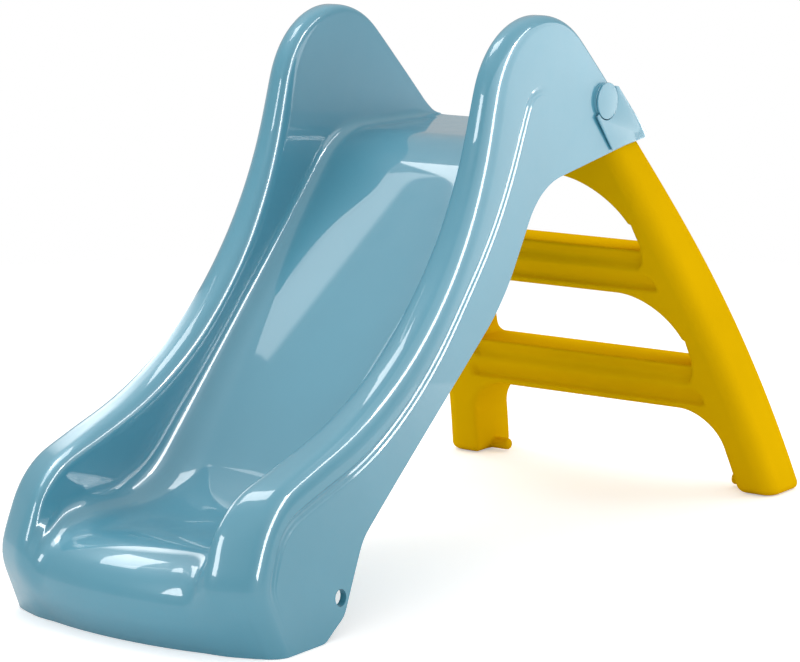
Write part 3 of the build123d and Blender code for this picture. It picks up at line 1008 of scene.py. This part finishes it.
def panel(name, direction, size, radiance, roll=0.0, distance=panel_distance, aim=slide_middle,
          lights=False, mirrored=True):
    """A panel that faces a point from a direction, in degrees. Most only show in reflections."""
    azimuth, elevation = direction
    width, height = size
    data = bpy.data.lights.new(name, "AREA")
    data.shape = "RECTANGLE"
    data.size = width
    data.size_y = height
    data.energy = radiance * math.pi * width * height
    lamp = bpy.data.objects.new(name, data)
    bpy.context.scene.collection.objects.link(lamp)
    turn = Euler((math.radians(90 - elevation), 0, math.radians(azimuth + 90))).to_matrix()
    outwards = turn @ Vector((0, 0, 1))
    lamp.location = Vector(aim) + outwards * distance
    lamp.rotation_euler = (turn @ Matrix.Rotation(math.radians(roll), 3, "Z")).to_euler()
    lamp.visible_camera = False
    lamp.visible_diffuse = lights
    lamp.visible_glossy = mirrored
    return lamp


def faded(lamp, front=0.0, rear=0.0, low=0.0, high=0.0):
    """Lets a panel fade out towards its edges, over shares of its width and height."""
    lamp.data.use_nodes = True
    nodes = lamp.data.node_tree.nodes
    links = lamp.data.node_tree.links
    place = nodes.new("ShaderNodeNewGeometry")
    split = nodes.new("ShaderNodeSeparateXYZ")
    links.new(place.outputs["Parametric"], split.inputs["Vector"])
    brightness = nodes["Emission"].inputs["Strength"]
    for side, dark, bright in (("X", 0, front), ("X", 1, 1 - rear), ("Y", 0, low), ("Y", 1, 1 - high)):
        if dark == bright:
            continue
        level = nodes.new("ShaderNodeMapRange")
        level.inputs["From Min"].default_value = dark
        level.inputs["From Max"].default_value = bright
        product = nodes.new("ShaderNodeMath")
        product.operation = "MULTIPLY"
        product.inputs[1].default_value = 1.0
        links.new(split.outputs[side], level.inputs["Value"])
        links.new(level.outputs["Result"], product.inputs[0])
        links.new(product.outputs["Value"], brightness)
        brightness = product.inputs[1]
    return lamp


def studio_world():
    """White where the camera sees it, levels by height where it is mirrored, and even as light."""
    world = bpy.data.worlds.new("Studio")
    bpy.context.scene.world = world
    world.use_nodes = True
    nodes = world.node_tree.nodes
    links = world.node_tree.links
    background = nodes["Background"]
    background.inputs["Color"].default_value = (1, 1, 1, 1)
    rays = nodes.new("ShaderNodeLightPath")
    where = nodes.new("ShaderNodeTexCoord")
    split = nodes.new("ShaderNodeSeparateXYZ")
    mirrored = nodes.new("ShaderNodeValToRGB")
    stops = mirrored.color_ramp.elements
    for height in mirrored_heights[2:]:
        stops.new(height)
    for stop, height, level in zip(stops, mirrored_heights, mirrored_levels):
        stop.position = height
        stop.color = (level, level, level, 1)
    glossy = nodes.new("ShaderNodeMix")
    glossy.inputs["A"].default_value = world_light
    links.new(where.outputs["Generated"], split.inputs["Vector"])
    links.new(split.outputs["Z"], mirrored.inputs["Fac"])
    links.new(mirrored.outputs["Color"], glossy.inputs["B"])
    seen = nodes.new("ShaderNodeMix")
    seen.inputs["B"].default_value = 1.0
    links.new(rays.outputs["Is Glossy Ray"], glossy.inputs["Factor"])
    links.new(rays.outputs["Is Camera Ray"], seen.inputs["Factor"])
    links.new(glossy.outputs["Result"], seen.inputs["A"])
    links.new(seen.outputs["Result"], background.inputs["Strength"])


def build_camera():
    data = bpy.data.cameras.new("Camera")
    data.sensor_width = camera_sensor
    data.lens = camera_lens
    data.clip_end = 50
    camera = bpy.data.objects.new("Camera", data)
    bpy.context.scene.collection.objects.link(camera)
    camera.location = camera_place
    camera.rotation_euler = (math.radians(90 - camera_dip), 0, math.radians(camera_heading - 90))
    bpy.context.scene.camera = camera


bpy.context.scene.view_settings.view_transform = "Standard"
studio_world()
lamps = [
    panel("Overhead", (101, 66), (1.0, 1.0), 5.8, lights=True),
    panel("Bed_strip", (109, 52), (0.08, 0.66), 2.4, roll=35),
    panel("Lip_upper", (80, 52), (0.20, 0.08), 5.0, distance=0.3, aim=nose),
    faded(
        panel("Lip_lower", (46, 30), (0.30, 0.12), 3.2, distance=0.45, aim=nose),
        front=0.35, rear=0.35, low=0.3, high=0.3,
    ),
    panel("Ear_window", (168, 22), (0.8, 1.0), 9.0),
    panel("Key_strip", (-97, 27), (3.4, 0.6), 14.0, roll=47),
    panel("Key_top", (-62, 44), (1.4, 0.3), 10.0),
    panel("Groove_line", (-12, -4), (0.4, 0.7), 5.0, distance=wall_distance),
    panel(
        "Right_wall", (-42.5, 3.5), (0.56, 0.8), 1.6,
        distance=wall_distance, lights=True, mirrored=False,
    ),
    faded(
        panel("Skirt_window", (-90, 0), (0.84, 0.8), 1.9, distance=0.07, aim=near_skirt),
        front=0.4, low=1.0,
    ),
]
build_floor()
build_camera()
